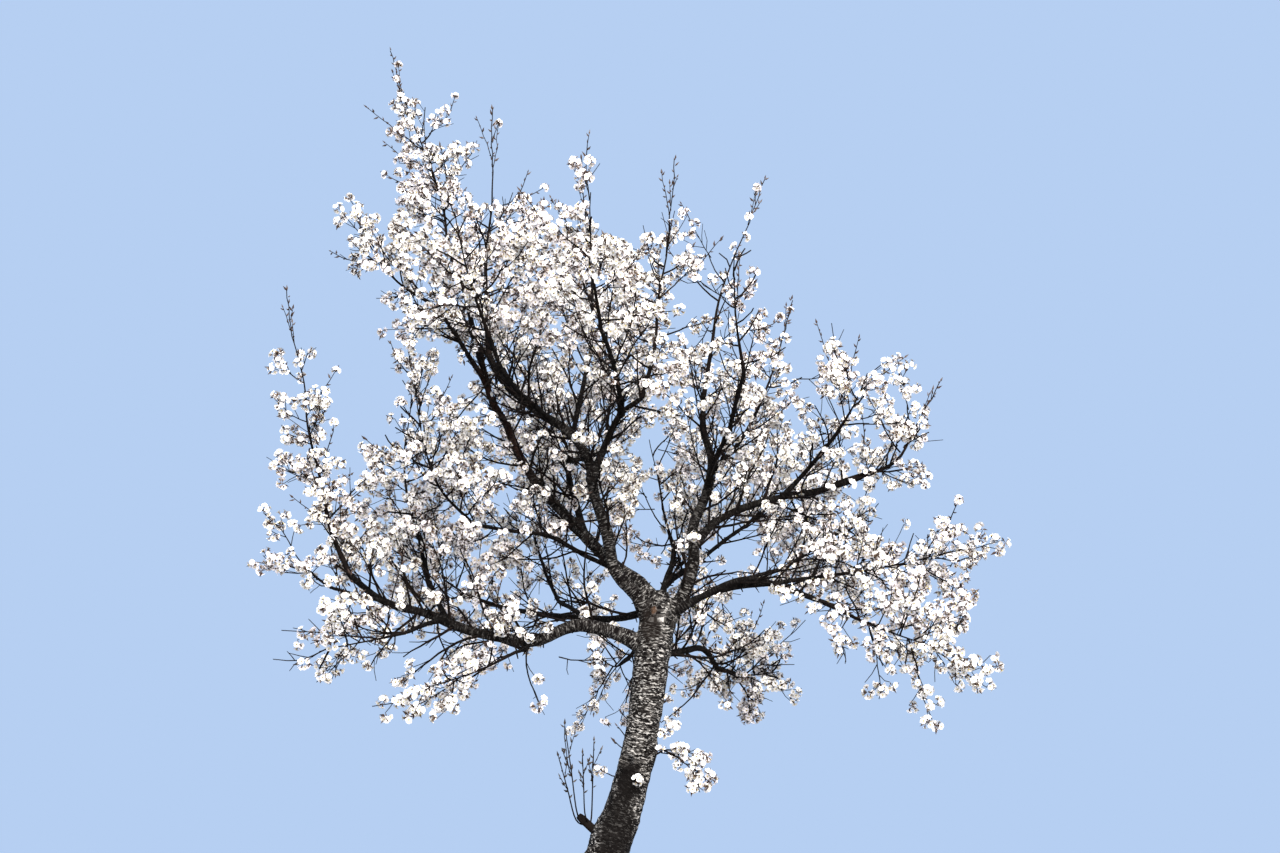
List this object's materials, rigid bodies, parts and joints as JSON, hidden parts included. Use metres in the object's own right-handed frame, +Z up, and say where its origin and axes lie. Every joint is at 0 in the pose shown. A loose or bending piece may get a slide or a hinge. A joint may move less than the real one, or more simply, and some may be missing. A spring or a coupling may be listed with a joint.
{
  "type": "white cherry blossom tree",
  "caption": "Cherry tree in full white blossom: leaning tapered trunk with a root flare, rising boughs and open masses of blossom.",
  "frame": {"origin": "middle of the flat cut under the trunk, at ground level", "axes": "+Z up, +X to the right of the view in the picture, +Y away from the viewer; the trunk leans towards +X"},
  "size_m": [4.3975, 4.1764, 7.5316],
  "materials": {
    "bark": "rough",
    "young_bark": "rough",
    "blossom": "matte"
  },
  "bodies": {
    "root": {"trunk": "bark", "bough_back_centre": "bark", "bough_back_left": "bark", "bough_back_right": "bark", "bough_back_top": "bark", "bough_east": "bark", "bough_east_inner": "bark", "bough_east_mid": "bark", "bough_east_upper": "bark", "bough_front_centre": "bark", "bough_front_left": "bark", "bough_front_right": "bark", "bough_inner": "bark", "bough_leader_back": "bark", "bough_leader_east": "bark", "bough_leader_mid": "bark", "bough_leader_west": "bark", "bough_low_back": "bark", "bough_low_right": "bark", "bough_mid_west": "bark", "bough_outer_west": "bark", "bough_shoulder": "bark", "bough_shoulder_mid": "bark", "bough_west": "bark", "bough_west_back": "bark", "bough_west_hang": "bark", "bough_west_low": "bark", "bough_west_rise": "bark", "bough_west_tip": "bark", "stub_with_shoots": "young_bark", "blossom_back_centre": "blossom", "blossom_back_left": "blossom", "blossom_back_right": "blossom", "blossom_back_top": "blossom", "blossom_east": "blossom", "blossom_east_inner": "blossom", "blossom_east_mid": "blossom", "blossom_east_upper": "blossom", "blossom_front_centre": "blossom", "blossom_front_left": "blossom", "blossom_front_right": "blossom", "blossom_inner": "blossom", "blossom_leader_back": "blossom", "blossom_leader_east": "blossom", "blossom_leader_mid": "blossom", "blossom_leader_west": "blossom", "blossom_low_back": "blossom", "blossom_low_right": "blossom", "blossom_low_spray": "blossom", "blossom_mid_west": "blossom", "blossom_outer_west": "blossom", "blossom_shoulder": "blossom", "blossom_shoulder_mid": "blossom", "blossom_west": "blossom", "blossom_west_back": "blossom", "blossom_west_hang": "blossom", "blossom_west_low": "blossom", "blossom_west_rise": "blossom", "blossom_west_tip": "blossom"}
  },
  "joints": []
}
